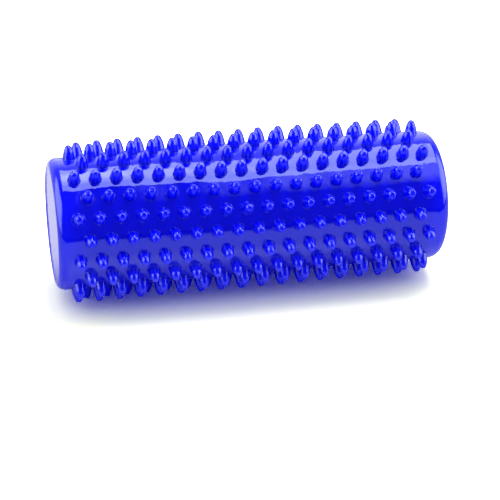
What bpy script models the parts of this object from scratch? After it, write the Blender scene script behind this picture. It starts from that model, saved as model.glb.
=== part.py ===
"""Spiky massage roller: a hollow soft-PVC moulding with a push-in air valve in one end.

Metres, +Z up. The roller's axis lies along X, and the origin is the middle of the roller.
It lies on two neighbouring rows of spikes. The valve is in the end wall at +X.
"""

import math

import bmesh
import bpy
from mathutils import Vector

# Moulded body
BODY_LENGTH = 0.150
BODY_RADIUS = 0.0253
CORNER_RADIUS = 0.0029
WALL = 0.0022
INNER_CORNER_RADIUS = 0.0036
CORNER_STEPS = 3

# Spikes, spaced alike along a row and from row to row round the barrel
SPIKE_PITCH = 0.00793
SPIKE_HEIGHT = 0.0053
SPIKE_ROOT_RADIUS = 0.0024
SPIKE_SHOULDER_RADIUS = 0.0018
SPIKE_SHOULDER_HEIGHT = 0.0034
SPIKE_SIDES = 6
ROWS_TO_PARTING = 2  # from straight up, backwards, to the nearer of the mould's two parting lines
END_LAND = 0.0003  # least plain skin between the last spike's cell and the rounded corner

# Air valve: a pre-moulded insert let into a boss in the end wall, and the plug that closes it
VALVE_CLEARANCE = 0.0003
PLUG_HEAD_RADIUS = 0.0042
PLUG_HEAD_THICKNESS = 0.0012
PLUG_HEAD_EDGE = 0.0004
PLUG_HEAD_SINK = 0.0002  # how far the head lies below the end wall's face
PLUG_STEM_LENGTH = 0.0105
PLUG_RIDGE_DEPTH = 0.00025
PLUG_RIDGES = 3
HOLE_MOUTH_RADIUS = 0.0019
HOLE_INNER_RADIUS = 0.0017
INSERT_LENGTH = 0.0110
INSERT_SLEEVE_RADIUS = 0.0036
INSERT_FLANGE_RADIUS = 0.0066
INSERT_FLOOR = 0.0009  # flange left under the plug's head
NAIL_SCOOP_RADIUS = 0.0016
BOSS_WALL = 0.0020
VALVE_SIDES = 24
ARC_STEPS = 3

# Counts that follow the sizes: rows come in pairs, because every second row is shifted half a pitch
ROWS = 2 * round(math.pi * BODY_RADIUS / SPIKE_PITCH)
LONG_ROW = math.floor((BODY_LENGTH - 2 * CORNER_RADIUS - 2 * END_LAND) / SPIKE_PITCH)

# Places that follow the sizes, along the axis
END_FACE = BODY_LENGTH / 2
HEAD_RECESS_DEPTH = PLUG_HEAD_SINK + PLUG_HEAD_THICKNESS + VALVE_CLEARANCE
HEAD_RECESS_RADIUS = PLUG_HEAD_RADIUS + VALVE_CLEARANCE
FLANGE_THICKNESS = HEAD_RECESS_DEPTH + INSERT_FLOOR

X_AXIS = Vector((1.0, 0.0, 0.0))


def clear_scene():
    for obj in list(bpy.data.objects):
        bpy.data.objects.remove(obj, do_unlink=True)


def plastic(name, colour, roughness):
    """A moulded plastic of one colour."""
    material = bpy.data.materials.new(name)
    material.use_nodes = True
    shader = material.node_tree.nodes["Principled BSDF"]
    shader.inputs["Base Color"].default_value = (*colour, 1.0)
    shader.inputs["Roughness"].default_value = roughness
    shader.inputs["Metallic"].default_value = 0.0
    return material


def finished(name, bm, material, crease, place=(0.0, 0.0, 0.0)):
    """Turns a bmesh into a named, smooth-shaded object at its place."""
    bmesh.ops.recalc_face_normals(bm, faces=bm.faces)
    mesh = bpy.data.meshes.new(name)
    bm.to_mesh(mesh)
    bm.free()
    mesh.shade_smooth()
    mesh.set_sharp_from_angle(angle=crease)
    mesh.materials.append(material)
    obj = bpy.data.objects.new(name, mesh)
    obj.location = place
    bpy.context.scene.collection.objects.link(obj)
    return obj


def arc(centre_x, centre_r, radius, start, stop, steps):
    """Points (x, r) of a round stretch of profile; 0 degrees points outward along r, 90 along +X."""
    turns = [math.radians(start + (stop - start) * step / steps) for step in range(steps + 1)]
    return [(centre_x + radius * math.sin(turn), centre_r + radius * math.cos(turn)) for turn in turns]


def brick_sheet(bm):
    """The barrel's skin laid like bricks, with one six-cornered cell for each spike.

    Lines of points run along the barrel, half a pitch apart, between one row of spikes and the next.
    Long rows fill the barrel from end to end; short rows have half a cell of plain skin at each end.
    The two halves of the mould mirror each other, so like rows meet at both parting lines.
    """
    stations = range(2 * LONG_ROW + 1)
    lines = []
    for line in range(ROWS):
        turn = (line - ROWS_TO_PARTING) * math.tau / ROWS
        across = Vector((0.0, -math.sin(turn), math.cos(turn))) * BODY_RADIUS
        along = [X_AXIS * (station - LONG_ROW) * SPIKE_PITCH / 2 for station in stations]
        lines.append([bm.verts.new(across + step) for step in along])
    cells = []
    for row in range(ROWS):
        near = lines[row]
        far = lines[(row + 1) % ROWS]
        rows_from_parting = min(row, ROWS - 1 - row)
        is_short = rows_from_parting % 2 == 0
        if is_short:
            bm.faces.new((near[0], near[1], far[1], far[0]))
            bm.faces.new((near[-2], near[-1], far[-1], far[-2]))
        for start in range(int(is_short), 2 * LONG_ROW - 1, 2):
            corners = near[start : start + 3] + far[start : start + 3][::-1]
            cells.append(bm.faces.new(corners))
    return cells


def shape_ring(face, radius, height):
    """Moves a cell's corners onto an even circle, square to the barrel, at a height over its skin."""
    centre = face.calc_center_median()
    outward = Vector((0.0, centre.y, centre.z)).normalized()
    around = outward.cross(X_AXIS)
    foot = X_AXIS * centre.x + outward * (BODY_RADIUS + height)
    side_angle = math.tau / SPIKE_SIDES
    for vert in face.verts:
        offset = vert.co - centre
        side = math.floor(math.atan2(offset.dot(around), offset.x) / side_angle)
        turn = (side + 0.5) * side_angle
        vert.co = foot + (X_AXIS * math.cos(turn) + around * math.sin(turn)) * radius


def place_round(vert, x, radius):
    """Moves a point straight out or in, to a distance from the roller's axis."""
    outward = Vector((0.0, vert.co.y, vert.co.z)).normalized()
    vert.co = X_AXIS * x + outward * radius


def raise_spikes(bm, cells):
    """Draws a blunt, bullet-shaped spike up out of every cell."""
    bmesh.ops.inset_individual(bm, faces=cells, thickness=SPIKE_PITCH / 2 - SPIKE_ROOT_RADIUS)
    for root in cells:
        shape_ring(root, SPIKE_ROOT_RADIUS, 0.0)
        for vert in root.verts:
            place_round(vert, vert.co.x, BODY_RADIUS)
    shoulders = bmesh.ops.extrude_discrete_faces(bm, faces=cells)["faces"]
    for shoulder in shoulders:
        shape_ring(shoulder, SPIKE_SHOULDER_RADIUS, SPIKE_SHOULDER_HEIGHT)
    for tip in bmesh.ops.poke(bm, faces=shoulders)["verts"]:
        place_round(tip, tip.co.x, BODY_RADIUS + SPIKE_HEIGHT)


def open_rim(bm, side):
    """The open edge of the skin at one end, with a corner added at the middle of each row."""
    rim = [edge for edge in bm.edges if edge.is_boundary and edge.verts[0].co.x * side > 0.0]
    bmesh.ops.subdivide_edges(bm, edges=rim, cuts=1)
    rim = [edge for edge in bm.edges if edge.is_boundary and edge.verts[0].co.x * side > 0.0]
    for vert in {vert for edge in rim for vert in edge.verts}:
        place_round(vert, vert.co.x, BODY_RADIUS)
    return rim


def run_on(bm, rim, profile):
    """Draws the skin on from its open edge, ring by ring, through a profile's (x, r) points."""
    for x, radius in profile:
        grown = bmesh.ops.extrude_edge_only(bm, edges=rim)["geom"]
        rim = [item for item in grown if isinstance(item, bmesh.types.BMEdge) and item.is_boundary]
        for vert in {vert for edge in rim for vert in edge.verts}:
            place_round(vert, x, radius)
    bmesh.ops.edgeloop_fill(bm, edges=rim)


def valve_pocket():
    """From the flat end inwards: the recess for the insert's flange, its bore, and the boss's outside."""
    flange = INSERT_FLANGE_RADIUS + VALVE_CLEARANCE
    sleeve = INSERT_SLEEVE_RADIUS + VALVE_CLEARANCE
    recess_floor = END_FACE - FLANGE_THICKNESS - VALVE_CLEARANCE
    boss_end = END_FACE - INSERT_LENGTH
    pad_face = recess_floor - BOSS_WALL
    return [
        (END_FACE, flange),
        (recess_floor, flange),
        (recess_floor, sleeve),
        (boss_end, sleeve),
        (boss_end, sleeve + BOSS_WALL),
        (pad_face, sleeve + BOSS_WALL),
        (pad_face, flange + BOSS_WALL),
        (END_FACE - WALL, flange + 2 * BOSS_WALL),
    ]


def air_chamber():
    """The inside of the end wall at +X, the barrel and the end wall at -X, with rounded corners."""
    wall_face = END_FACE - WALL
    centre_r = BODY_RADIUS - WALL - INNER_CORNER_RADIUS
    centre_x = wall_face - INNER_CORNER_RADIUS
    steps = (INNER_CORNER_RADIUS, 90.0, 0.0, CORNER_STEPS)
    near = arc(centre_x, centre_r, *steps)
    far = [(-x, radius) for x, radius in reversed(near)]
    return near + far


def roller_body():
    """One hollow moulding: the spiky barrel, both end walls, the valve boss and the air chamber."""
    bm = bmesh.new()
    raise_spikes(bm, brick_sheet(bm))
    centre_x = END_FACE - CORNER_RADIUS
    centre_r = BODY_RADIUS - CORNER_RADIUS
    corner = arc(centre_x, centre_r, CORNER_RADIUS, 0.0, 90.0, CORNER_STEPS)
    run_on(bm, open_rim(bm, -1.0), [(-x, radius) for x, radius in corner])
    run_on(bm, open_rim(bm, 1.0), corner + valve_pocket() + air_chamber())
    skin = plastic("glossy_blue_pvc", (0.012, 0.012, 0.78), 0.12)
    return finished("roller_body", bm, skin, math.radians(65.0))


def hole_radius(depth):
    """Radius of the insert's tapered hole at a depth below the end face."""
    return HOLE_MOUTH_RADIUS + (HOLE_INNER_RADIUS - HOLE_MOUTH_RADIUS) * depth / INSERT_LENGTH


def turned(profile, closed):
    """Spins a profile's (x, r) points round the roller's axis."""
    bm = bmesh.new()
    points = [bm.verts.new((x, radius, 0.0)) for x, radius in profile]
    followers = points[1:] + points[:1] if closed else points[1:]
    edges = [bm.edges.new(pair) for pair in zip(points, followers)]
    bmesh.ops.spin(
        bm,
        geom=points + edges,
        cent=(0.0, 0.0, 0.0),
        axis=X_AXIS,
        dvec=(0.0, 0.0, 0.0),
        angle=math.tau,
        steps=VALVE_SIDES,
        use_merge=True,
    )
    bmesh.ops.remove_doubles(bm, verts=bm.verts, dist=VALVE_CLEARANCE / 1000)
    return bm


def valve_insert():
    """Flanged PVC sleeve with the tapered air hole, and a scoop for a fingernail under the plug's head."""
    recess_floor = END_FACE - HEAD_RECESS_DEPTH
    profile = [
        (END_FACE, HEAD_RECESS_RADIUS),
        (END_FACE, INSERT_FLANGE_RADIUS),
        (END_FACE - FLANGE_THICKNESS, INSERT_FLANGE_RADIUS),
        (END_FACE - FLANGE_THICKNESS, INSERT_SLEEVE_RADIUS),
        (END_FACE - INSERT_LENGTH, INSERT_SLEEVE_RADIUS),
        (END_FACE - INSERT_LENGTH, hole_radius(INSERT_LENGTH)),
        (recess_floor, hole_radius(HEAD_RECESS_DEPTH)),
        (recess_floor, HEAD_RECESS_RADIUS),
    ]
    firm_pvc = plastic("firm_blue_pvc", (0.010, 0.014, 0.55), 0.30)
    insert = finished("valve_insert", turned(profile, closed=True), firm_pvc, math.radians(30.0))

    scoop_bm = bmesh.new()
    bmesh.ops.create_icosphere(scoop_bm, subdivisions=2, radius=NAIL_SCOOP_RADIUS)
    rim_top = (END_FACE, 0.0, HEAD_RECESS_RADIUS)
    scoop = finished("nail_scoop_cutter", scoop_bm, firm_pvc, math.pi, rim_top)
    scoop.hide_render = True
    scoop.display_type = "WIRE"
    cut = insert.modifiers.new("nail_scoop", "BOOLEAN")
    cut.operation = "DIFFERENCE"
    cut.object = scoop
    return insert


def plug_profile():
    """The plug from the middle of its head to its tip, with x = 0 at the outside of the head."""
    edge = PLUG_HEAD_EDGE
    rim = PLUG_HEAD_RADIUS - edge
    head = arc(-edge, rim, edge, 90.0, 0.0, ARC_STEPS)
    head += arc(edge - PLUG_HEAD_THICKNESS, rim, edge, 0.0, -90.0, ARC_STEPS)

    def ridge_radius(along):
        return hole_radius(PLUG_HEAD_SINK - along) - VALVE_CLEARANCE

    spacing = PLUG_STEM_LENGTH / (PLUG_RIDGES + 1)
    stem = [(-PLUG_HEAD_THICKNESS, ridge_radius(-PLUG_HEAD_THICKNESS) - PLUG_RIDGE_DEPTH)]
    for ridge in range(1, PLUG_RIDGES + 1):
        crest = -PLUG_HEAD_THICKNESS - ridge * spacing
        for shift, drop in ((spacing / 4, PLUG_RIDGE_DEPTH), (0.0, 0.0), (-spacing / 8, PLUG_RIDGE_DEPTH)):
            stem.append((crest + shift, ridge_radius(crest + shift) - drop))
    tip = -PLUG_HEAD_THICKNESS - PLUG_STEM_LENGTH
    tip_radius = ridge_radius(tip) - PLUG_RIDGE_DEPTH
    nose = arc(tip + tip_radius, 0.0, tip_radius, 0.0, -90.0, ARC_STEPS)
    return [(0.0, 0.0)] + head + stem + nose[:-1] + [(tip, 0.0)]


def valve_plug():
    """Push-in stopper. Its origin is on the axis that it slides along, at the outside of its head."""
    plug_plastic = plastic("natural_polyethylene", (0.80, 0.81, 0.84), 0.35)
    place = (END_FACE - PLUG_HEAD_SINK, 0.0, 0.0)
    turning = turned(plug_profile(), closed=False)
    return finished("valve_plug", turning, plug_plastic, math.radians(40.0), place)


def main():
    clear_scene()
    roller_body()
    valve_insert()
    valve_plug()


main()
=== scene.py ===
# %% [markdown]
# # A spiky massage roller
#
# The roller is one hollow moulding of glossy blue PVC, about 15 cm long and 6 cm across its spikes. It is
# filled with air through a small valve in one end wall. This notebook dresses the plain solids of the
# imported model: each solid is a guide, and a finer piece is modelled over it in the same place.

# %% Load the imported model
import math

import bmesh
import bpy
from mathutils import Matrix, Vector, noise


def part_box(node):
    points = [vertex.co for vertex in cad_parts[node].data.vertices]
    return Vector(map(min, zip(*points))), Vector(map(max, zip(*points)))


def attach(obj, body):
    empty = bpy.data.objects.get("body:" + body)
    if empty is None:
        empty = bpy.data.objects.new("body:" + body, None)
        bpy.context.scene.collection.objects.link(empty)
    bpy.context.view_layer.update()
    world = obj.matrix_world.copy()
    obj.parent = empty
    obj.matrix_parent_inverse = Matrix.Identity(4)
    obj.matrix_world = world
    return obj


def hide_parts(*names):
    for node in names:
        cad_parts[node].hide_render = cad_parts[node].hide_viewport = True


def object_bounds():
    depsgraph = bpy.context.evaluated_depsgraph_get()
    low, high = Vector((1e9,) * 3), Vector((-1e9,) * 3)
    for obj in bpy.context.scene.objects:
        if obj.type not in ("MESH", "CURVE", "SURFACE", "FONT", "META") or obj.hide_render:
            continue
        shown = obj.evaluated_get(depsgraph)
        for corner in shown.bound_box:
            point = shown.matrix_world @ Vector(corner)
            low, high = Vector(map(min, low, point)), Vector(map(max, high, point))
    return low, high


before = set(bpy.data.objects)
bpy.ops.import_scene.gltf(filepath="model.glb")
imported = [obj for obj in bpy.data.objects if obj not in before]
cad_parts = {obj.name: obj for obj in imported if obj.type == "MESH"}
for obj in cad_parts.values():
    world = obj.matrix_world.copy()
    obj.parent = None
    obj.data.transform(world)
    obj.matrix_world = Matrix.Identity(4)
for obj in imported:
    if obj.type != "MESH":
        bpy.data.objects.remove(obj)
cad_low, cad_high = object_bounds()
print("box, in mm:", [round(1000 * side, 1) for side in cad_high - cad_low])

# %% [markdown]
# ## Sizes
#
# The spikes sit on a regular lattice: the step along a row is the same as the step from one row to the next.
# Every second row is shifted by half a step, so the rows interlock like bricks. Twenty rows go round the
# barrel, and the longer rows have eighteen spikes. The mould has two halves that mirror each other, so at
# both parting lines the shift misses a turn and two like rows meet.

# %% Sizes of the moulding
LENGTH = cad_high.x - cad_low.x
HALF_LENGTH = LENGTH / 2
SPIKE_STEP = 0.00793
BARREL_RADIUS = 0.0253
SPIKE_HEIGHT = 0.0053
CORNER_RADIUS = 0.0029
ROWS = 20
LONG_ROW = 18
PARTING_TURN = -2 * math.tau / ROWS

# %% [markdown]
# The skin starts as a fine grid wrapped round the axis. Six grid squares span one step, both along the
# barrel and round it. Three by three of them carry a spike, and half a step is three squares, so the
# shifted rows fall on the same grid. One more square along the barrel puts a square's middle on the
# middle of the roller.

# %% Grid of the skin
SQUARES_PER_STEP = 6
COLUMNS = ROWS * SQUARES_PER_STEP
STATIONS = LONG_ROW * SQUARES_PER_STEP + 1
SQUARE = SPIKE_STEP / SQUARES_PER_STEP
COLUMN_TURN = math.tau / COLUMNS
print("skin grid:", COLUMNS, "round,", STATIONS, "along")

# %% [markdown]
# ## Helpers
#
# A point of the roller is given by its place along the axis, its turn round the axis and its distance from
# it. The turn is counted from straight up towards the front, which is -Y.

# %% Place a point round the axis
X_AXIS = Vector((1.0, 0.0, 0.0))


def outward(turn):
    return Vector((0.0, -math.sin(turn), math.cos(turn)))


def sideways(turn):
    return Vector((0.0, -math.cos(turn), -math.sin(turn)))


def turn_of(point):
    return math.atan2(-point.y, point.z) % math.tau


# %% [markdown]
# Every piece is finished in the same way. Its normals are made to point out, it is shaded smooth with its
# true creases kept sharp, and its object stays at the origin with its place in the mesh.

# %% Finish a piece
def finish_piece(name, bm, material, crease, body, node):
    bmesh.ops.recalc_face_normals(bm, faces=bm.faces)
    mesh = bpy.data.meshes.new(name)
    bm.to_mesh(mesh)
    bm.free()
    mesh.shade_smooth()
    mesh.set_sharp_from_angle(angle=math.radians(crease))
    mesh.materials.append(material)
    piece = bpy.data.objects.new(name, mesh)
    bpy.context.scene.collection.objects.link(piece)
    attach(piece, body)
    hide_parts(node)
    print(name, len(mesh.polygons), "faces")
    return piece


def round_corner(centre_x, centre_r, radius, start, stop, steps):
    """Points (x, r) round a corner; 0 degrees is straight out from the axis, 90 is along +X."""
    turns = [math.radians(start + (stop - start) * step / steps) for step in range(steps + 1)]
    return [(centre_x + radius * math.sin(turn), centre_r + radius * math.cos(turn)) for turn in turns]


# %% [markdown]
# ## Finishes
#
# Each finish is a small node tree, built from a few helpers: noise, a change from one place to another, and
# ways to put values and colours together.
#
# Soft PVC comes out of a polished mould with a wet-looking gloss. Its surface is never dead flat: it has a
# faint ripple a few millimetres wide and a slight change of gloss from place to place. The spikes and the
# corners at both ends let light through; that light is painted into their base colour, as a brighter blue
# than the barrel's.

# %% Node helpers
def new_material(name):
    material = bpy.data.materials.new(name)
    material.use_nodes = True
    nodes = material.node_tree.nodes
    return material, nodes, material.node_tree.links, nodes["Principled BSDF"]


def noise_on(nodes, links, scale, detail):
    """A noise pattern fixed to the piece, in steps per metre."""
    place = nodes.new("ShaderNodeTexCoord")
    pattern = nodes.new("ShaderNodeTexNoise")
    pattern.inputs["Scale"].default_value = scale
    pattern.inputs["Detail"].default_value = detail
    links.new(place.outputs["Object"], pattern.inputs["Vector"])
    return pattern.outputs["Fac"]


def spread(nodes, links, source, low, high, from_low=0.3, from_high=0.7):
    """Stretches a pattern to run from low to high. Most of a noise lies between 0.3 and 0.7."""
    ramp = nodes.new("ShaderNodeMapRange")
    ramp.inputs["From Min"].default_value = from_low
    ramp.inputs["From Max"].default_value = from_high
    ramp.inputs["To Min"].default_value = low
    ramp.inputs["To Max"].default_value = high
    links.new(source, ramp.inputs["Value"])
    return ramp.outputs["Result"]


def fade_in(nodes, links, source, start, stop, low=0.0, high=1.0):
    """Low up to the start, high from the stop on."""
    return spread(nodes, links, source, low, high, start, stop)


def fade_out(nodes, links, source, start, stop, high=1.0, low=0.0):
    """High up to the start, low from the stop on."""
    return spread(nodes, links, source, high, low, start, stop)


def combine(nodes, links, operation, *sources):
    """Puts values together, one after another."""
    result = sources[0]
    for source in sources[1:]:
        maths = nodes.new("ShaderNodeMath")
        maths.operation = operation
        links.new(result, maths.inputs[0])
        links.new(source, maths.inputs[1])
        result = maths.outputs["Value"]
    return result


def without_sign(nodes, links, source):
    maths = nodes.new("ShaderNodeMath")
    maths.operation = "ABSOLUTE"
    links.new(source, maths.inputs[0])
    return maths.outputs["Value"]


def either(nodes, links, share, first, second):
    """The first value where the share is 0, the second where it is 1."""
    mix = nodes.new("ShaderNodeMix")
    for name, value in (("A", first), ("B", second)):
        if isinstance(value, float):
            mix.inputs[name].default_value = value
        else:
            links.new(value, mix.inputs[name])
    links.new(share, mix.inputs["Factor"])
    return mix.outputs["Result"]


def blend_colours(nodes, links, share, first, second):
    mix = nodes.new("ShaderNodeMix")
    mix.data_type = "RGBA"
    mix.inputs["A"].default_value = (*first, 1.0)
    mix.inputs["B"].default_value = (*second, 1.0)
    links.new(share, mix.inputs["Factor"])
    return mix.outputs["Result"]


def add_bump(nodes, links, shader, scale, detail, strength, distance):
    """Gives a surface a fine relief."""
    bump = nodes.new("ShaderNodeBump")
    bump.inputs["Strength"].default_value = strength
    bump.inputs["Distance"].default_value = distance
    links.new(noise_on(nodes, links, scale, detail), bump.inputs["Height"])
    links.new(bump.outputs["Normal"], shader.inputs["Normal"])


# %% Glossy blue PVC
BARREL_BLUE = (0.0008, 0.0016, 0.64)
# Painted light: the brighter blue given to the spikes and both end corners stands in for light passing
# through them.
PAINTED_THROUGH_LIGHT_BLUE = (0.0012, 0.0024, 0.98)
LIT_SPIKE_FROM, LIT_SPIKE_TO = BARREL_RADIUS + 0.0007, BARREL_RADIUS + 0.0020
LIT_END_FROM, LIT_END_TO = HALF_LENGTH - 0.012, HALF_LENGTH - 0.002
LIT_END_SHARE = 0.7
PVC_ROUGHNESS = (0.03, 0.06)
GLOSS_PATCHES = 60.0
RIPPLES = 350.0
PVC_IOR = 1.54
PVC_MIRROR_LEVEL = 0.65
PVC_MIRROR_TINT = (0.86, 0.98, 1.0, 1.0)


def glossy_blue_pvc():
    material, nodes, links, shader = new_material("glossy_blue_pvc")
    place = nodes.new("ShaderNodeTexCoord")
    across = nodes.new("ShaderNodeVectorMath")
    across.operation = "MULTIPLY"
    across.inputs[1].default_value = (0.0, 1.0, 1.0)
    links.new(place.outputs["Object"], across.inputs[0])
    reach = nodes.new("ShaderNodeVectorMath")
    reach.operation = "LENGTH"
    links.new(across.outputs["Vector"], reach.inputs[0])
    # Painted light: the base colour turns brighter up each spike and near both ends, for light that passes
    # through them.
    up_spike = fade_in(nodes, links, reach.outputs["Value"], LIT_SPIKE_FROM, LIT_SPIKE_TO)
    parts = nodes.new("ShaderNodeSeparateXYZ")
    links.new(place.outputs["Object"], parts.inputs["Vector"])
    from_middle = without_sign(nodes, links, parts.outputs["X"])
    near_end = fade_in(nodes, links, from_middle, LIT_END_FROM, LIT_END_TO, high=LIT_END_SHARE)
    painted_through_light = combine(nodes, links, "MAXIMUM", up_spike, near_end)
    blue = blend_colours(nodes, links, painted_through_light, BARREL_BLUE, PAINTED_THROUGH_LIGHT_BLUE)
    links.new(blue, shader.inputs["Base Color"])
    gloss = spread(nodes, links, noise_on(nodes, links, GLOSS_PATCHES, 3.0), *PVC_ROUGHNESS)
    links.new(gloss, shader.inputs["Roughness"])
    add_bump(nodes, links, shader, RIPPLES, detail=1.0, strength=0.06, distance=0.001)
    shader.inputs["IOR"].default_value = PVC_IOR
    shader.inputs["Specular IOR Level"].default_value = PVC_MIRROR_LEVEL
    shader.inputs["Specular Tint"].default_value = PVC_MIRROR_TINT
    return material


pvc = glossy_blue_pvc()

# %% [markdown]
# ## The spiky skin
#
# The whole skin is one moulding, so it is one mesh. A ring of points is drawn along the axis in small equal
# steps to make the barrel's grid. A plain cylinder would have long thin faces that no spike could grow from.

# %% Draw the barrel out of one ring
def barrel_grid(bm):
    upright = Matrix.Rotation(math.pi / 2, 4, "Y")
    half_column = Matrix.Rotation(COLUMN_TURN / 2, 4, "X")
    bmesh.ops.create_circle(
        bm, segments=COLUMNS, radius=BARREL_RADIUS, cap_ends=False, matrix=half_column @ upright
    )
    bmesh.ops.translate(bm, verts=bm.verts, vec=-X_AXIS * SQUARE * STATIONS / 2)
    rim = list(bm.edges)
    for _ in range(STATIONS):
        grown = bmesh.ops.extrude_edge_only(bm, edges=rim)["geom"]
        verts = [item for item in grown if isinstance(item, bmesh.types.BMVert)]
        bmesh.ops.translate(bm, verts=verts, vec=X_AXIS * SQUARE)
        rim = [item for item in grown if isinstance(item, bmesh.types.BMEdge) and item.is_boundary]


skin = bmesh.new()
barrel_grid(skin)
print("barrel grid:", len(skin.faces), "squares")

# %% [markdown]
# Each spike stands on three by three squares round a lattice point. Its points remember that lattice point,
# their bearing round the spike and how far out they lie, in mesh layers. Twelve points make the ring and
# four lie inside it. Extruding copies the layers, so every later ring is placed by the same four numbers.

# %% Where the spikes stand
def spike_places():
    for row in range(ROWS):
        turn = PARTING_TURN + (row + 0.5) * math.tau / ROWS
        rows_from_parting = min(row, ROWS - 1 - row)
        count = LONG_ROW - 1 + rows_from_parting % 2
        for number in range(count):
            yield (number - (count - 1) / 2) * SPIKE_STEP, turn


places = list(spike_places())
print(len(places), "spikes")

# %% Mark the foot of every spike
INNER_REACH = 0.42
INNER_SIDES = 4
OUTER_SIDES = 12
layers = [skin.verts.layers.float.new(name) for name in ("axis_x", "axis_turn", "bearing", "reach")]
reach_layer = layers[-1]


def address(point):
    """Number of a grid square along the barrel and round it."""
    column = round(turn_of(point) / COLUMN_TURN) % COLUMNS
    return round(point.x / SQUARE), column


def snapped(angle, sides):
    """The nearest of a ring's evenly spaced bearings."""
    step = math.tau / sides
    return (math.floor(angle / step) + 0.5) * step


def mark_foot(square_at, x, turn):
    middle, column = address(X_AXIS * x + outward(turn))
    foot = [
        square_at[middle + along, (column + across) % COLUMNS]
        for along in (-1, 0, 1)
        for across in (-1, 0, 1)
    ]
    for vert in {vert for square in foot for vert in square.verts}:
        along = vert.co.x - x
        across = vert.co.dot(sideways(turn))
        is_inner = max(abs(along), abs(across)) < SQUARE
        bearing = snapped(math.atan2(across, along), INNER_SIDES if is_inner else OUTER_SIDES)
        values = (x, turn, bearing, INNER_REACH if is_inner else 1.0)
        for layer, value in zip(layers, values):
            vert[layer] = value
    return foot


square_at = {address(face.calc_center_median()): face for face in skin.faces}
feet = [square for x, turn in places for square in mark_foot(square_at, x, turn)]
print(len(feet), "squares carry a spike")

# %% [markdown]
# A spike is a blunt bullet: sides that lean in a little, a round tip, and in the tip a tiny pit where the
# mould let its air out. The pit is what turns the glint on every tip into a small ring. The profile below
# was read off the spikes that stand out against the white background. Each pair is a ring's radius and its
# height over the skin. The first two rings lie flat in the skin, so that the barrel's shading stays calm
# right up to the sharp line where a spike begins. The squares of all feet are extruded together, once for
# each ring.

# %% Raise the spikes ring by ring
SPIKE_PROFILE = (
    (0.00266, 0.0),
    (0.00251, 0.0),
    (0.00198, 0.0028),
    (0.00140, 0.0043),
    (0.00090, 0.00505),
    (0.00052, 0.00523),
)
PIT_FLOOR = 0.0049


def place_on_spike(vert, radius, height):
    x, turn, bearing, reach = (vert[layer] for layer in layers)
    across = radius * reach * math.sin(bearing)
    skin_sag = BARREL_RADIUS - math.sqrt(BARREL_RADIUS**2 - across**2)
    lift = height - skin_sag * (1.0 - height / SPIKE_HEIGHT)
    foot = X_AXIS * (x + radius * reach * math.cos(bearing))
    vert.co = foot + outward(turn) * (BARREL_RADIUS + lift) + sideways(turn) * across


foot_radius, foot_height = SPIKE_PROFILE[0]
tip_radius, tip_height = SPIKE_PROFILE[-1]
for vert in {vert for square in feet for vert in square.verts}:
    place_on_spike(vert, foot_radius, foot_height)
tops = feet
for radius, height in SPIKE_PROFILE[1:]:
    grown = bmesh.ops.extrude_face_region(skin, geom=tops)["geom"]
    tops = [item for item in grown if isinstance(item, bmesh.types.BMFace)]
    for vert in {vert for face in tops for vert in face.verts}:
        place_on_spike(vert, radius, height)
for vert in {vert for face in tops for vert in face.verts}:
    if vert[reach_layer] < 1.0:
        place_on_spike(vert, tip_radius, PIT_FLOOR)
print("skin with spikes:", len(skin.faces), "faces, tips at", round(1000 * tip_height, 2), "mm")

# %% [markdown]
# ## The ends
#
# The barrel's open edges are drawn on ring by ring, through a profile of places along the axis and
# distances from it. At -X that gives the rounded corner, a low lip and the flat panel inside it. At +X the
# wall goes on into the recess that holds the valve. The air pushes both corners out by less than a
# millimetre, the one at the valve further, because the thick boss holds the wall inside it back.

# %% Draw the skin on from an open edge
def open_edge(bm, side):
    return [edge for edge in bm.edges if edge.is_boundary and edge.verts[0].co.x * side > 0.0]


def run_on(bm, rim, profile):
    for x, radius in profile:
        grown = bmesh.ops.extrude_edge_only(bm, edges=rim)["geom"]
        rim = [item for item in grown if isinstance(item, bmesh.types.BMEdge) and item.is_boundary]
        for vert in {vert for edge in rim for vert in edge.verts}:
            vert.co = X_AXIS * x + outward(turn_of(vert.co)) * radius
    return rim


def swell(corner_rings, rise):
    """The corner's rings, drawn out along the axis until the last one stands out by the rise."""
    start_x = corner_rings[0][0]
    stretch = (CORNER_RADIUS + rise) / CORNER_RADIUS
    return [(start_x + (x - start_x) * stretch, radius) for x, radius in corner_rings]


# %% Rounded corner and flat wall at the closed end
CORNER_STEPS = 8
PANEL_DEPTH = 0.0004
PANEL_EDGE = 0.0007
PANEL_RING_SHARES = (0.98, 0.8, 0.55, 0.3, 0.1)
CLOSED_END_SWELL = 0.0004
corner_x = HALF_LENGTH - CORNER_RADIUS
corner_r = BARREL_RADIUS - CORNER_RADIUS
corner = round_corner(corner_x, corner_r, CORNER_RADIUS, 0.0, 90.0, CORNER_STEPS)
crown_x = HALF_LENGTH + CLOSED_END_SWELL
panel_x = crown_x - PANEL_DEPTH
panel_r = corner_r - PANEL_EDGE
lip = [(crown_x - PANEL_DEPTH / 4, corner_r - PANEL_EDGE / 3), (panel_x, panel_r)]
panel = [(panel_x, panel_r * share) for share in PANEL_RING_SHARES]
closed_end = [(-x, radius) for x, radius in swell(corner, CLOSED_END_SWELL) + lip + panel]
last_ring = run_on(skin, open_edge(skin, -1.0), closed_end)
bmesh.ops.edgeloop_fill(skin, edges=last_ring)
print("closed end:", len(closed_end), "rings")

# %% [markdown]
# The valve's recess is read from the solids, so that the finer pieces sit where the solids do. The recess
# has a small rounded lip, as a soft moulding can't hold a knife edge.

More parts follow.
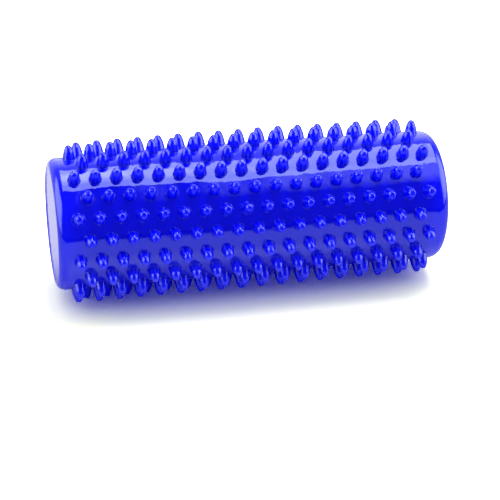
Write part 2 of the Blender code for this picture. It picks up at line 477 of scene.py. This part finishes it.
# %% Recess for the valve
insert_low, insert_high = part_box("valve_insert")
plug_low, plug_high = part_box("valve_plug")
FLANGE_RADIUS = insert_high.z
FIT_GAP = 0.00012
LIP = 0.0004
FLANGE_DEPTH = 0.0026
SLEEVE_RADIUS = 0.0036
VALVE_END_SWELL = 0.0008
END_LIP_WIDTH = 0.0032
END_LIP_SHARES = ((0.96, 0.2), (0.8, 0.45), (0.5, 0.65), (0.2, 0.82), (0.04, 0.94), (0.0, 1.0))
WALL_RING_SHARES = (0.75, 0.5)
LIP_STEPS = 4
flange_hole = FLANGE_RADIUS + FIT_GAP
hole_lip = round_corner(HALF_LENGTH - LIP, flange_hole + LIP, LIP, 90.0, 180.0, LIP_STEPS)
end_lip = [
    (HALF_LENGTH + VALVE_END_SWELL * out, corner_r - END_LIP_WIDTH * inward)
    for out, inward in END_LIP_SHARES
]
wall_rings = [(HALF_LENGTH, corner_r * share) for share in WALL_RING_SHARES]
valve_end = swell(corner, VALVE_END_SWELL) + end_lip + wall_rings + hole_lip + [
    (HALF_LENGTH - FLANGE_DEPTH - FIT_GAP, flange_hole),
    (HALF_LENGTH - FLANGE_DEPTH - FIT_GAP, SLEEVE_RADIUS + FIT_GAP),
    (insert_low.x - FIT_GAP, SLEEVE_RADIUS + FIT_GAP),
]
last_ring = run_on(skin, open_edge(skin, 1.0), valve_end)
bmesh.ops.edgeloop_fill(skin, edges=last_ring)
print("valve end:", len(valve_end), "rings")

# %% [markdown]
# ## Slack
#
# An air-filled skin is never a true cylinder. It swells and dips a little from place to place, just enough
# to make the edge of a reflection wander. In the photo the far side also stands almost a millimetre higher
# at mid-length, the top is slightly sunk there, the side below the front is fuller, and the rows under the
# top slide towards the front. A smooth field moves the barrel's surface, and every point keeps its height
# over that surface, spikes included. The place in the noise was picked so that the band's edges wander much
# as they do in the photo. Every rise and dip fades out towards the ends, where the corners hold the skin
# round.

# %% Let the skin wander a little
WANDER = 0.0004
WANDER_SIZE = 0.021
WANDER_START = Vector((19.8, 23.4, 2.8))
WANDER_FADE = 4.0
CROWN, CROWN_TURN, CROWN_WIDTH = 0.0009, math.radians(-30.0), math.radians(22.0)
DENT, DENT_TURN, DENT_WIDTH = 0.0006, math.radians(12.0), math.radians(18.0)
BELLY, BELLY_TURN, BELLY_WIDTH = 0.0005, math.radians(106.0), math.radians(24.0)
DRIFT, DRIFT_TURN, DRIFT_WIDTH = math.radians(2.6), math.radians(42.0), math.radians(26.0)
DRIFT_BALANCE = 0.4
NUDGE = 0.0005
SKIN_CREASE = 75.0


def near(turn, middle, width):
    """1 at the middle, falling off smoothly on both sides of it."""
    away = (turn - middle + math.pi) % math.tau - math.pi
    return math.exp(-((away / width) ** 2))


def slack_surface(x, turn):
    mid_length = math.cos(math.pi * x / LENGTH)
    on_skin = outward(turn) * BARREL_RADIUS + X_AXIS * x
    rise = WANDER * min(1.0, WANDER_FADE * mid_length) * noise.noise(on_skin / WANDER_SIZE + WANDER_START)
    rise += CROWN * mid_length * near(turn, CROWN_TURN, CROWN_WIDTH)
    rise -= DENT * mid_length**2 * near(turn, DENT_TURN, DENT_WIDTH)
    rise += BELLY * mid_length**2 * near(turn, BELLY_TURN, BELLY_WIDTH)
    drift = DRIFT * (mid_length**2 - DRIFT_BALANCE) * near(turn, DRIFT_TURN, DRIFT_WIDTH)
    return X_AXIS * x + outward(turn + drift) * (BARREL_RADIUS + rise)


def slacken(point):
    turn = turn_of(point)
    height = point.dot(outward(turn)) - BARREL_RADIUS
    here = slack_surface(point.x, turn)
    along = slack_surface(point.x + NUDGE, turn) - here
    across = slack_surface(point.x, turn + NUDGE / BARREL_RADIUS) - here
    return here + across.cross(along).normalized() * height


for vert in skin.verts:
    if abs(vert.co.x) < HALF_LENGTH - CORNER_RADIUS / 2:
        vert.co = slacken(vert.co)
spiky_skin = finish_piece(
    "spiky_skin", skin, pvc, SKIN_CREASE, "roller", "roller_body"
)

# %% [markdown]
# ## The valve
#
# The valve is a firm PVC insert with a tapered hole, closed by a small push-in stopper. Both are turned
# shapes: half a profile is drawn on one side of the axis and spun round it. The photo doesn't show this
# end, so its forms follow what such rollers have.

# %% Spin a profile round the roller's axis
TURN_STEPS = 64
WELD = 1e-6


def turned(profile, closed):
    bm = bmesh.new()
    verts = [bm.verts.new((x, 0.0, radius)) for x, radius in profile]
    partners = verts[1:] + verts[:1] if closed else verts[1:]
    edges = [bm.edges.new(pair) for pair in zip(verts, partners)]
    bmesh.ops.spin(
        bm,
        geom=verts + edges,
        cent=(0.0, 0.0, 0.0),
        axis=X_AXIS,
        dvec=(0.0, 0.0, 0.0),
        angle=math.tau,
        steps=TURN_STEPS,
        use_merge=True,
    )
    bmesh.ops.remove_doubles(bm, verts=bm.verts, dist=WELD)
    return bm


# %% [markdown]
# The insert's flange lies flush with the end wall. Its rim and the edge of the recess are softened, and a
# shallow scoop lets a fingernail get under the stopper. The scoop is cut with a ball and a Boolean, and the
# ball is removed once its cut has been taken into the mesh.

# %% Turn the insert
HEAD_RADIUS = plug_high.z
HEAD_RECESS = HEAD_RADIUS + FIT_GAP
RECESS_DEPTH = 0.0017
HOLE_MOUTH = 0.0018
HOLE_INNER = 0.0016
SCOOP_RADIUS = 0.0016
COLLAR_CREASE = 30.0
SATIN_BLUES = ((0.004, 0.006, 0.42), (0.006, 0.010, 0.52))
SATIN_ROUGHNESS = (0.26, 0.38)
SATIN_MOTTLE = 220.0
SATIN_GRAIN = 2200.0
rim_out = round_corner(HALF_LENGTH - LIP, FLANGE_RADIUS - LIP, LIP, 90.0, 0.0, LIP_STEPS)
rim_in = round_corner(HALF_LENGTH - LIP, HEAD_RECESS + LIP, LIP, 180.0, 90.0, LIP_STEPS)
insert_profile = rim_out + [
    (HALF_LENGTH - FLANGE_DEPTH, FLANGE_RADIUS),
    (HALF_LENGTH - FLANGE_DEPTH, SLEEVE_RADIUS),
    (insert_low.x, SLEEVE_RADIUS),
    (insert_low.x, HOLE_INNER),
    (HALF_LENGTH - RECESS_DEPTH, HOLE_MOUTH),
    (HALF_LENGTH - RECESS_DEPTH, HEAD_RECESS),
]
insert_profile += rim_in


def satin_blue_pvc():
    material, nodes, links, shader = new_material("satin_blue_pvc")
    mottle = noise_on(nodes, links, SATIN_MOTTLE, 4.0)
    links.new(blend_colours(nodes, links, mottle, *SATIN_BLUES), shader.inputs["Base Color"])
    links.new(spread(nodes, links, mottle, *SATIN_ROUGHNESS), shader.inputs["Roughness"])
    add_bump(nodes, links, shader, SATIN_GRAIN, detail=2.0, strength=0.08, distance=0.0005)
    return material


insert_bm = turned(insert_profile, closed=True)
collar = finish_piece(
    "valve_collar", insert_bm, satin_blue_pvc(), COLLAR_CREASE, "roller", "valve_insert"
)

# %% Cut the fingernail scoop
def cut_with_ball(piece, centre, radius):
    ball_bm = bmesh.new()
    bmesh.ops.create_icosphere(
        ball_bm, subdivisions=4, radius=radius, matrix=Matrix.Translation(centre)
    )
    ball_mesh = bpy.data.meshes.new("scoop_ball")
    ball_bm.to_mesh(ball_mesh)
    ball_bm.free()
    ball = bpy.data.objects.new("scoop_ball", ball_mesh)
    bpy.context.scene.collection.objects.link(ball)
    cut = piece.modifiers.new("scoop", "BOOLEAN")
    cut.operation = "DIFFERENCE"
    cut.object = ball
    depsgraph = bpy.context.evaluated_depsgraph_get()
    piece.data = bpy.data.meshes.new_from_object(piece.evaluated_get(depsgraph))
    piece.modifiers.clear()
    piece.data.shade_smooth()
    piece.data.set_sharp_from_angle(angle=math.radians(COLLAR_CREASE))
    bpy.data.objects.remove(ball)


cut_with_ball(collar, (HALF_LENGTH, 0.0, HEAD_RECESS), SCOOP_RADIUS)
print("collar with its scoop:", len(collar.data.polygons), "faces")

# %% [markdown]
# The stopper has a thin domed head, a tapered stem with three soft ridges that grip the hole, and a round
# nose. It is natural polyethylene: milky, slightly see-through and less glossy than the skin. It rides on
# its own body, so it comes out along the axis.

# %% Turn the stopper
HEAD_FACE = plug_high.x
HEAD_THICKNESS = 0.0012
HEAD_EDGE = 0.0005
HEAD_EDGE_STEPS = 5
HEAD_DOME = 0.00025
DOME_SHARES = (0.0, 0.35, 0.7)
RIDGES = 3
RIDGE_HEIGHT = 0.00022
RIDGE_SHAPE = ((-0.07, 0.0), (-0.03, 0.6), (0.0, 1.0), (0.015, 0.6), (0.03, 0.0))
STEM_ROOT = 0.0015
STEM_TIP = 0.0013
NOSE_STEPS = 8
STOPPER_CREASE = 40.0
MILK_WHITES = ((0.74, 0.76, 0.80), (0.82, 0.83, 0.85))
MILK_ROUGHNESS = (0.30, 0.42)
MILK_MOTTLE = 180.0
MILK_GRAIN = 1800.0


def stem_radius(share):
    return STEM_ROOT + (STEM_TIP - STEM_ROOT) * share


def stopper_profile():
    rim = HEAD_RADIUS - HEAD_EDGE
    under = HEAD_FACE - HEAD_DOME - HEAD_THICKNESS
    head = [(HEAD_FACE - HEAD_DOME * share**2, rim * share) for share in DOME_SHARES]
    head += round_corner(HEAD_FACE - HEAD_DOME - HEAD_EDGE, rim, HEAD_EDGE, 90.0, 0.0, HEAD_EDGE_STEPS)
    head += round_corner(under + HEAD_EDGE, rim, HEAD_EDGE, 0.0, -90.0, HEAD_EDGE_STEPS)
    stem_length = under - plug_low.x
    stem = [(under, STEM_ROOT + HEAD_EDGE / 2), (under - HEAD_EDGE / 2, STEM_ROOT)]
    for ridge in range(RIDGES):
        crest_share = (ridge + 1) / (RIDGES + 1)
        for step, rise in RIDGE_SHAPE:
            share = crest_share + step
            radius = stem_radius(share) - RIDGE_HEIGHT * (1.0 - rise)
            stem.append((under - stem_length * share, radius))
    nose_radius = STEM_TIP - RIDGE_HEIGHT
    nose = round_corner(plug_low.x + nose_radius, 0.0, nose_radius, 0.0, -90.0, NOSE_STEPS)
    return head + stem + nose[:-1] + [(plug_low.x, 0.0)]


def natural_polyethylene():
    material, nodes, links, shader = new_material("natural_polyethylene")
    mottle = noise_on(nodes, links, MILK_MOTTLE, 3.0)
    links.new(blend_colours(nodes, links, mottle, *MILK_WHITES), shader.inputs["Base Color"])
    links.new(spread(nodes, links, mottle, *MILK_ROUGHNESS), shader.inputs["Roughness"])
    add_bump(nodes, links, shader, MILK_GRAIN, detail=2.0, strength=0.10, distance=0.0004)
    return material


stopper_bm = turned(stopper_profile(), closed=False)
stopper = finish_piece(
    "valve_stopper",
    stopper_bm,
    natural_polyethylene(),
    STOPPER_CREASE,
    "plug",
    "valve_plug",
)

# %% [markdown]
# ## The studio
#
# The roller lies on wide white paper in a white tent. One long softbox hangs overhead, a little behind the
# roller, and gives the pale band along its upper side. Three nested spots make that band brighter near its
# left end. The front of the tent is open to a dark room, and in mirror images the paper is painted dark a
# short way in front, which is why the middle of the barrel is so deep a blue. The lower side mirrors the
# paper.

# %% Floor
FLOOR_SIZE = 1.5
FLOOR_GAP = 0.0001
floor_bm = bmesh.new()
bmesh.ops.create_grid(floor_bm, x_segments=8, y_segments=8, size=FLOOR_SIZE)
bmesh.ops.translate(floor_bm, verts=floor_bm.verts, vec=(0.0, 0.0, cad_low.z - FLOOR_GAP))
floor_mesh = bpy.data.meshes.new("floor")
floor_bm.to_mesh(floor_mesh)
floor_bm.free()
floor = bpy.data.objects.new("floor", floor_mesh)
bpy.context.scene.collection.objects.link(floor)

# %% [markdown]
# The camera sees the paper whiter than it lights the roller. Close beside the roller, where the roller's
# shadow falls, the camera sees a painted colour that is lighter and less blue, which lightens that shadow
# and takes out some of its blue. The paper's mirror image ends in front. It is painted lighter behind the
# roller, and a painted lighter strip along the roller's front lifts the paper's shadow in mirror images.
# Each pair of places is where a change starts and where it is complete.

# %% White paper
PAPER_LEVEL = 0.80
SHOWN_PAPER = (2.4, 2.43, 1.75)
# Painted light: a lighter, less blue paper colour that the camera sees where the roller's shadow falls.
PAINTED_SHADOW_LIFT = (2.9, 3.0, 1.62)
BESIDE_FRONT = (-0.036, -0.020)
BESIDE_END = (0.060, 0.078)
MIRRORED_EDGE = (-0.32, -0.20)
# Painted reflection: how dark the paper is painted, in mirror images only, beyond its front edge.
MIRRORED_BEYOND = 0.03
# Painted light in mirror images: how much lighter the paper's shadow is made along the roller's front.
PAINTED_REFLECTION_LIFT = 1.8
STRIP_FRONT = (-0.060, -0.020)
STRIP_BACK = (-0.018, -0.008)
STRIP_LEFT = (-0.080, -0.065)
STRIP_RIGHT = (0.045, 0.080)
# Painted reflection: how much lighter the paper is made behind the roller, in mirror images only.
MIRRORED_BEHIND = 1.16
BEHIND = (-0.01, 0.06)


# Painted reflection: the paper's colour for mirror images only. It is dark beyond its front edge, lighter
# behind the roller, and lighter over its shadow along the roller's front.
def paper_painted_for_mirrors(nodes, links, along, away):
    in_sight = fade_in(nodes, links, away, *MIRRORED_EDGE, low=MIRRORED_BEYOND, high=PAPER_LEVEL)
    painted_lift = combine(
        nodes,
        links,
        "MULTIPLY",
        in_sight,
        fade_in(nodes, links, away, *STRIP_FRONT, high=PAINTED_REFLECTION_LIFT),
        fade_out(nodes, links, away, *STRIP_BACK),
        fade_in(nodes, links, along, *STRIP_LEFT),
        fade_out(nodes, links, along, *STRIP_RIGHT),
    )
    painted_reflection = combine(nodes, links, "ADD", in_sight, painted_lift)
    behind = fade_in(nodes, links, away, *BEHIND, low=1.0, high=MIRRORED_BEHIND)
    return combine(nodes, links, "MULTIPLY", painted_reflection, behind)


def white_paper():
    material = bpy.data.materials.new("white_paper")
    material.use_nodes = True
    nodes = material.node_tree.nodes
    links = material.node_tree.links
    nodes.clear()
    output = nodes.new("ShaderNodeOutputMaterial")
    paper = nodes.new("ShaderNodeBsdfDiffuse")
    place = nodes.new("ShaderNodeTexCoord")
    parts = nodes.new("ShaderNodeSeparateXYZ")
    path = nodes.new("ShaderNodeLightPath")
    links.new(place.outputs["Object"], parts.inputs["Vector"])
    along, away = parts.outputs["X"], parts.outputs["Y"]
    mirrored = paper_painted_for_mirrors(nodes, links, along, away)
    lit = either(nodes, links, path.outputs["Is Glossy Ray"], PAPER_LEVEL, mirrored)
    # Where the roller's shadow falls, the camera sees the painted shadow lift instead of the plain paper
    # colour.
    off_front = fade_out(nodes, links, away, *BESIDE_FRONT)
    off_end = fade_in(nodes, links, without_sign(nodes, links, along), *BESIDE_END)
    off = combine(nodes, links, "MAXIMUM", off_front, off_end)
    shown = nodes.new("ShaderNodeMix")
    shown.data_type = "RGBA"
    links.new(path.outputs["Is Camera Ray"], shown.inputs["Factor"])
    links.new(lit, shown.inputs["A"])
    links.new(blend_colours(nodes, links, off, PAINTED_SHADOW_LIFT, SHOWN_PAPER), shown.inputs["B"])
    links.new(shown.outputs["Result"], paper.inputs["Color"])
    links.new(paper.outputs["BSDF"], output.inputs["Surface"])
    return material


floor.data.materials.append(white_paper())

# %% Softbox and its bright spots
SOFTBOX_SIZE = (0.57, 0.90)
SOFTBOX_CENTRE = (0.255, 0.315, 1.0)
SOFTBOX_RADIANCE = 3.45
SPOT_SIZES = ((0.28, 0.50), (0.20, 0.36), (0.12, 0.22))
SPOT_X, SPOT_Y, SPOT_Z = 0.045, 0.33, 0.99
SPOT_DROP = 0.001
SPOT_RADIANCE = 0.8


def softbox(name, size, centre, radiance, shape="RECTANGLE"):
    """A soft lamp that faces the floor."""
    lamp = bpy.data.lights.new(name, "AREA")
    lamp.shape = shape
    lamp.size, lamp.size_y = size
    lamp.energy = radiance * size[0] * size[1] * math.pi
    box = bpy.data.objects.new(name, lamp)
    box.location = centre
    bpy.context.scene.collection.objects.link(box)


softbox("overhead_softbox", SOFTBOX_SIZE, SOFTBOX_CENTRE, SOFTBOX_RADIANCE)
for spot, size in enumerate(SPOT_SIZES):
    centre = (SPOT_X, SPOT_Y, SPOT_Z - spot * SPOT_DROP)
    softbox(f"softbox_bright_spot_{spot + 1}", size, centre, SPOT_RADIANCE, "ELLIPSE")

# %% [markdown]
# Light that enters soft PVC goes round in the hollow skin and comes out on its shaded side too. Three wide,
# weak suns stand in for it. They are linked to the roller alone, so that the shadow on the paper stays deep,
# and they leave no mirror image.

# %% Light that the hollow skin carries round
CARRIED_LIGHT_WIDTH = 140.0
skin_pieces = bpy.data.collections.new("skin_pieces")
for piece in (spiky_skin, collar, stopper):
    skin_pieces.objects.link(piece)


def carried_light(name, turn, level):
    """A wide glow from one side of the roller that only the roller takes up."""
    lamp = bpy.data.lights.new(name, "SUN")
    lamp.angle = math.radians(CARRIED_LIGHT_WIDTH)
    lamp.energy = level * math.pi
    glow = bpy.data.objects.new(name, lamp)
    glow.rotation_euler = (math.radians(turn), 0.0, 0.0)
    glow.visible_glossy = False
    glow.light_linking.receiver_collection = skin_pieces
    glow.light_linking.blocker_collection = skin_pieces
    bpy.context.scene.collection.objects.link(glow)


carried_light("carried_light_front", turn=82.0, level=0.58)
carried_light("carried_light_below", turn=120.0, level=0.17)
carried_light("carried_light_back", turn=-90.0, level=0.40)

# %% [markdown]
# The world is the tent of white cloth round the floor. Lamps shine through its left and right walls, its
# back is plain white and greyer higher up and towards its corners, and a cloth hangs from its roof in front.
# Below that cloth it is open to the dark room where the camera stands. The parts of a direction say which
# wall it looks at: X is negative to the left, Y is negative to the front and Z is negative below the
# horizon. Two numbers after a part say where between its limits, -1 and 1, an edge starts and stops.
#
# The walls are seen only in mirror images. The light itself is a soft glow without edges, strongest overhead
# and weakest low in front, where the dark room is. The camera sees plain white.

# %% Tent
LEFT_LEVEL = 3.7
RIGHT_LEVEL = 3.9
BACK_LEVEL = 1.6
BACK_TOP_LEVEL = 0.56
BACK_LEFT_SHARE = 0.45
BACK_RIGHT_SHARE = 0.3
LAMP_LOW_SHARE = 0.65
CLOTH_LEVEL = 1.4
FRONT_LEVEL = 0.06
GLOW_LOW = 0.30
GLOW_HIGH = 0.97
GLOW_FRONT_SHARE = 0.20
world = bpy.data.worlds.new("tent")
bpy.context.scene.world = world
world.use_nodes = True
world.cycles.sampling_method = "NONE"
nodes = world.node_tree.nodes
links = world.node_tree.links
background = nodes["Background"]
background.inputs["Color"].default_value = (1.0, 1.0, 1.0, 1.0)
direction = nodes.new("ShaderNodeTexCoord")
parts = nodes.new("ShaderNodeSeparateXYZ")
links.new(direction.outputs["Generated"], parts.inputs["Vector"])
along, away, up = parts.outputs
left_lamp = combine(
    nodes,
    links,
    "MULTIPLY",
    fade_out(nodes, links, along, -0.50, -0.36, high=LEFT_LEVEL),
    fade_in(nodes, links, away, -0.68, -0.42),
    fade_out(nodes, links, away, 0.38, 0.60),
    fade_in(nodes, links, up, 0.0, 0.40, low=LAMP_LOW_SHARE),
)
right_lamp = combine(
    nodes,
    links,
    "MULTIPLY",
    fade_in(nodes, links, along, 0.48, 0.60, high=RIGHT_LEVEL),
    fade_in(nodes, links, away, -0.80, -0.50),
    fade_out(nodes, links, away, 0.15, 0.40),
    fade_in(nodes, links, up, 0.0, 0.40, low=LAMP_LOW_SHARE),
)
back_wall = combine(
    nodes,
    links,
    "MULTIPLY",
    fade_out(nodes, links, up, 0.45, 0.69, high=BACK_LEVEL, low=BACK_TOP_LEVEL),
    fade_in(nodes, links, away, 0.0, 0.25),
    fade_in(nodes, links, along, -0.45, 0.10, low=BACK_LEFT_SHARE),
    fade_out(nodes, links, along, 0.36, 0.62, low=BACK_RIGHT_SHARE),
)
roof_cloth = combine(
    nodes,
    links,
    "MULTIPLY",
    fade_in(nodes, links, along, 0.12, 0.28, high=CLOTH_LEVEL),
    fade_in(nodes, links, away, -0.66, -0.44),
    fade_out(nodes, links, away, 0.0, 0.20),
    fade_in(nodes, links, up, 0.55, 0.72),
)
walls = combine(nodes, links, "MAXIMUM", left_lamp, right_lamp, back_wall, roof_cloth)
over_horizon = fade_in(nodes, links, up, -0.01, 0.01)
dark_room = nodes.new("ShaderNodeValue")
dark_room.outputs["Value"].default_value = FRONT_LEVEL
walls_over_horizon = combine(nodes, links, "MULTIPLY", walls, over_horizon)
mirrored = combine(nodes, links, "MAXIMUM", walls_over_horizon, dark_room.outputs["Value"])
glow = combine(
    nodes,
    links,
    "MULTIPLY",
    fade_in(nodes, links, up, 0.0, 1.0, low=GLOW_LOW, high=GLOW_HIGH),
    fade_in(nodes, links, away, -0.80, -0.10, low=GLOW_FRONT_SHARE),
)
path = nodes.new("ShaderNodeLightPath")
received = either(nodes, links, path.outputs["Is Glossy Ray"], glow, mirrored)
shown = either(nodes, links, path.outputs["Is Camera Ray"], received, 1.0)
links.new(shown, background.inputs["Strength"])

# %% [markdown]
# ## The camera
#
# The view was found by matching the spike lattice to the photo: a long lens, looking down at the roller from
# the front left. The camera is placed by that direction, its distance and the point of the roller that lies
# in the middle of the picture.

# %% Camera
YAW = math.radians(-12.542)
PITCH = math.radians(26.492)
ROLL = math.radians(0.741)
DISTANCE = 0.6771
SENSOR_WIDTH = 36.0
LENS = 123.28
IMAGE_CENTRE = Vector((0.002375, 0.0, -0.018173))
view_dir = Vector((-math.sin(YAW) * math.cos(PITCH), math.cos(YAW) * math.cos(PITCH), -math.sin(PITCH)))
level_right = Vector((math.cos(YAW), math.sin(YAW), 0.0))
level_up = level_right.cross(view_dir)
camera_right = level_right * math.cos(ROLL) + level_up * math.sin(ROLL)
camera_up = level_up * math.cos(ROLL) - level_right * math.sin(ROLL)
camera_data = bpy.data.cameras.new("camera")
camera_data.sensor_width = SENSOR_WIDTH
camera_data.lens = LENS
camera = bpy.data.objects.new("camera", camera_data)
camera_turn = Matrix((camera_right, camera_up, -view_dir)).transposed()
camera.matrix_world = Matrix.Translation(IMAGE_CENTRE - view_dir * DISTANCE) @ camera_turn.to_4x4()
bpy.context.scene.collection.objects.link(camera)
bpy.context.scene.camera = camera
bpy.context.scene.view_settings.view_transform = "Standard"
